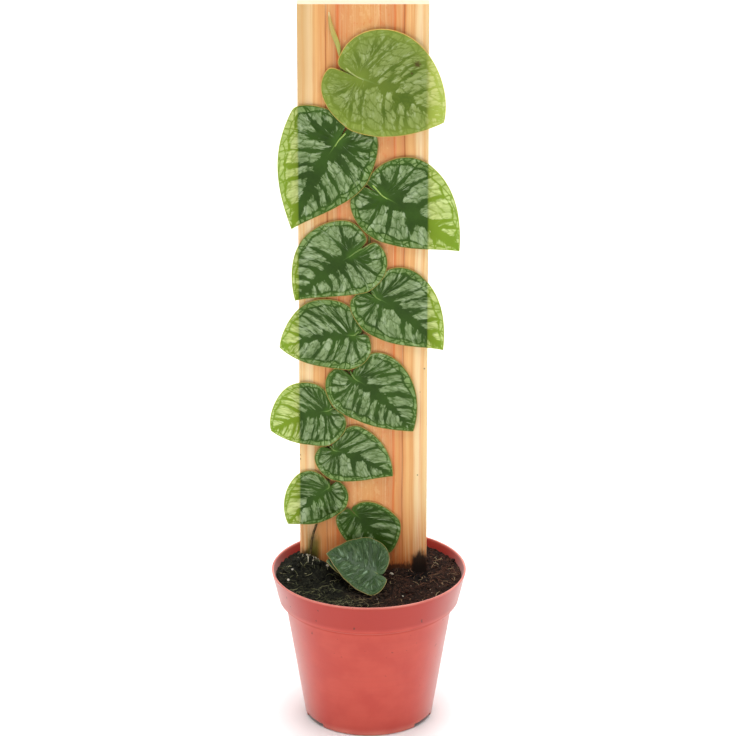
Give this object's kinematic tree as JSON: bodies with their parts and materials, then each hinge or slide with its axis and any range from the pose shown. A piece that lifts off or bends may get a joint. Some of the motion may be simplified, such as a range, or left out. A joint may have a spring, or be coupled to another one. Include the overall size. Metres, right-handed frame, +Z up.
{
  "type": "potted monstera dubia",
  "caption": "Young shingle plant that climbs a flat wooden board, with overlapping heart-shaped patterned leaves, in a round nursery pot of soil.",
  "frame": {"origin": "centre of the pot's foot, on the surface that the pot stands on", "axes": "+Z up, -Y the side that the leaves face, +X to the right as seen from there"},
  "size_m": [0.1203, 0.12, 0.4556],
  "materials": {
    "plastic": "satin moulded terracotta-coloured plastic",
    "soil": "dark peat soil with grains and fibres",
    "wood": "planed softwood, plain",
    "stem": "thin woody stem",
    "sheath": "smooth young sheath",
    "young_leaf": "young leaf, satin",
    "leaf": "leaf with silver patches, satin",
    "old_leaf": "dark leaf, glossy"
  },
  "bodies": {
    "root": {"pot": "plastic", "soil": "soil", "board": "wood", "stem": "stem", "growing_tip": "sheath", "leaf_01": "young_leaf", "leaf_02": "leaf", "leaf_03": "leaf", "leaf_04": "leaf", "leaf_05": "leaf", "leaf_06": "leaf", "leaf_07": "leaf", "leaf_08": "leaf", "leaf_09": "leaf", "leaf_10": "leaf", "leaf_11": "leaf", "leaf_12": "old_leaf", "leaf_13": "old_leaf"}
  },
  "joints": []
}
